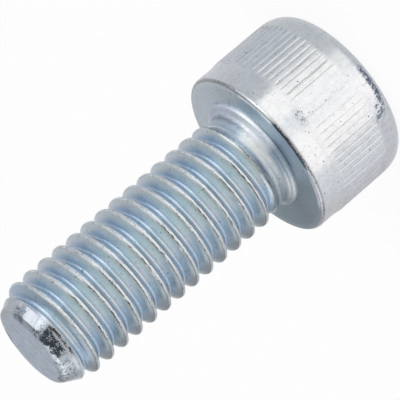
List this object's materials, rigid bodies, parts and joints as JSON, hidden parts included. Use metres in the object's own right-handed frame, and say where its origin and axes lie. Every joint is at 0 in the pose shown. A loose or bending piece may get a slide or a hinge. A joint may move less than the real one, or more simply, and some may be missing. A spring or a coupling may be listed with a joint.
{
  "type": "socket head cap screw",
  "caption": "Socket head cap screw in zinc-plated steel, with a knurled cylindrical head, a hex socket and a metric thread up to a short neck.",
  "frame": {"origin": "centre of the head's bearing face, on the screw's axis", "axes": "+Z along the shank from the bearing face to the tip, +X through two opposite corners of the hex socket, +Y across two of its flats"},
  "size_m": [0.0128, 0.0128, 0.028],
  "materials": {
    "zinc_plate": "blue-white zinc plate over steel, satin with fine pits"
  },
  "bodies": {
    "root": {"cap_screw": "zinc_plate"}
  },
  "joints": []
}
